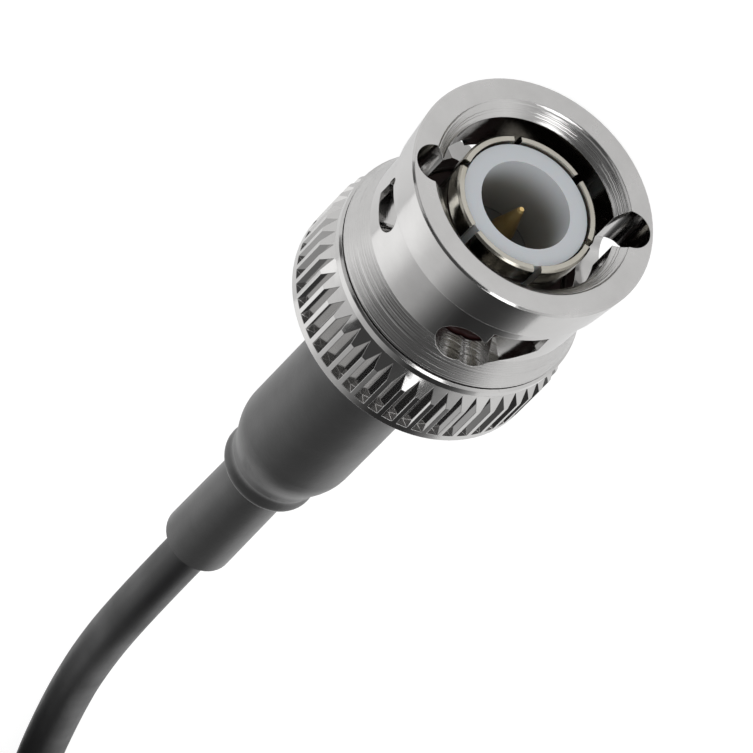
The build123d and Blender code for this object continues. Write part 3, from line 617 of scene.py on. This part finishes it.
# Bench: a plain white sheet of paper under everything. By its own light it reads as white
# to the eye, with only a faint shadow. In the metal it glows less, so that the plug's
# shadow shows there, and none of that light falls on things.
bench_half = 1.5
bench_middle = 0.15
under_lead = 0.00001
sheet = bmesh.new()
bmesh.ops.create_grid(sheet, x_segments=1, y_segments=1, size=bench_half)
bmesh.ops.translate(sheet, verts=sheet.verts, vec=(0, bench_middle, bench_level - under_lead))
mesh = bpy.data.meshes.new("bench")
sheet.to_mesh(mesh)
sheet.free()
bench = bpy.data.objects.new("bench", mesh)
bpy.context.scene.collection.objects.link(bench)
paper = bpy.data.materials.new("white paper")
paper.use_nodes = True
tree = paper.node_tree
tree.nodes.remove(tree.nodes["Principled BSDF"])


def rays(tree):
    """1 for a ray from the eye, straight or through glass, and 1 for one off a shiny skin."""
    path = add(tree, "LightPath", {})
    seen = add(
        tree, "Math", {"operation": "MAXIMUM"},
        {0: path.outputs["Is Camera Ray"], 1: path.outputs["Is Transmission Ray"]},
    )
    return seen.outputs[0], path.outputs["Is Glossy Ray"]


def by_ray(onto_things, to_eye, in_metal):
    """A number for the light that falls on things, for the eye and for the metal."""
    plain = add(tree, "Mix", {2: onto_things, 3: to_eye}, {"Factor": seen}).outputs[0]
    return add(tree, "Mix", {3: in_metal}, {"Factor": mirrored, 2: plain}).outputs[0]


seen, mirrored = rays(tree)
glow = by_ray(onto_things=0.0, to_eye=0.9, in_metal=0.35)
white = by_ray(onto_things=0.86, to_eye=0.24, in_metal=0.7)
tint = add(tree, "CombineColor", {}, {0: white, 1: white, 2: white})
matt = add(tree, "BsdfDiffuse", {}, {"Color": tint.outputs[0]})
light = add(tree, "Emission", {"Color": linear("#ffffff")}, {"Strength": glow})
both = add(tree, "AddShader", {}, {0: matt.outputs[0], 1: light.outputs[0]})
tree.links.new(both.outputs[0], tree.nodes["Material Output"].inputs["Surface"])
mesh.materials.append(paper)

# Studio: white all round, with a dark card behind the plug, one in front at its side and
# a wide one overhead that give the polished metal its dark bands, a softbox that gives it
# a bright one, and two soft lamps.
light_on_things = 0.6
light_to_eye = 1.0
world = bpy.data.worlds.new("studio")
world.use_nodes = True
bpy.context.scene.world = world
tree = world.node_tree
sky = tree.nodes["Background"]
sky.inputs["Color"].default_value = linear("#ffffff")
way = add(tree, "TexCoord", {}).outputs["Generated"]


def card(towards, inner, outer, strength, beside=1.0):
    """A round card in a given direction of the room: its strength up to the inner angle,
    and past the outer one the number for beside it."""
    across = add(
        tree, "VectorMath", {"operation": "DOT_PRODUCT", 1: Vector(towards).normalized()}, {0: way}
    )
    near, far = math.cos(math.radians(inner)), math.cos(math.radians(outer))
    inside = add(
        tree, "MapRange", {"From Min": far, "From Max": near, "interpolation_type": "SMOOTHSTEP"},
        {0: across.outputs["Value"]},
    )
    faded = add(tree, "MapRange", {"To Min": beside, "To Max": strength}, {0: inside.outputs[0]})
    return faded.outputs[0]


behind = card((-0.4604, 0.768, 0.4446), inner=6, outer=38, strength=0.05)
overhead = card((0, -0.17, 0.985), inner=25, outer=85, strength=0.07)
aside = card((0.78, -0.5, 0.38), inner=10, outer=36, strength=0.1)
softbox = card((0.6, 0.768, 0.22), inner=4, outer=24, strength=0.3, beside=0.0)
room = add(tree, "Math", {"operation": "MULTIPLY"}, {0: behind, 1: overhead})
room = add(tree, "Math", {"operation": "MULTIPLY"}, {0: room.outputs[0], 1: aside})
room = add(tree, "Math", {"operation": "ADD"}, {0: room.outputs[0], 1: softbox})
seen, mirrored = rays(tree)
around = add(tree, "Mix", {2: light_on_things}, {"Factor": mirrored, 3: room.outputs[0]})
level = add(tree, "Mix", {3: light_to_eye}, {"Factor": seen, 2: around.outputs[0]})
tree.links.new(level.outputs[0], sky.inputs["Strength"])
for name, spot, aim, size, power in (
    ("key lamp", (-0.35, -0.25, 0.5), (0, 0.02, 0), 0.4, 1.2),
    ("fill lamp", (0.45, -0.1, 0.35), (0, 0.02, 0), 0.5, 0.5),
):
    lamp = bpy.data.lights.new(name, "AREA")
    lamp.size = size
    lamp.energy = power
    stand = bpy.data.objects.new(name, lamp)
    stand.location = spot
    stand.rotation_euler = (Vector(aim) - Vector(spot)).to_track_quat("-Z", "Y").to_euler()
    bpy.context.scene.collection.objects.link(stand)

# Camera: from 0.45 m away it looks down over the front of the plug, turned so that the
# plug points to the upper right of the picture. Its numbers are those of a fit to the
# circles of the plug.
lens = bpy.data.cameras.new("camera")
lens.sensor_width = 36
lens.lens = 431.337
lens.clip_start = 0.01
lens.clip_end = 20
camera = bpy.data.objects.new("camera", lens)
camera.location = (0, -0.338108, 0.297197)
camera.rotation_euler = [math.radians(a) for a in (-40.64526, 32.48090, -147.86213)]
bpy.context.scene.collection.objects.link(camera)
bpy.context.scene.camera = camera

bpy.context.scene.view_settings.view_transform = "Standard"
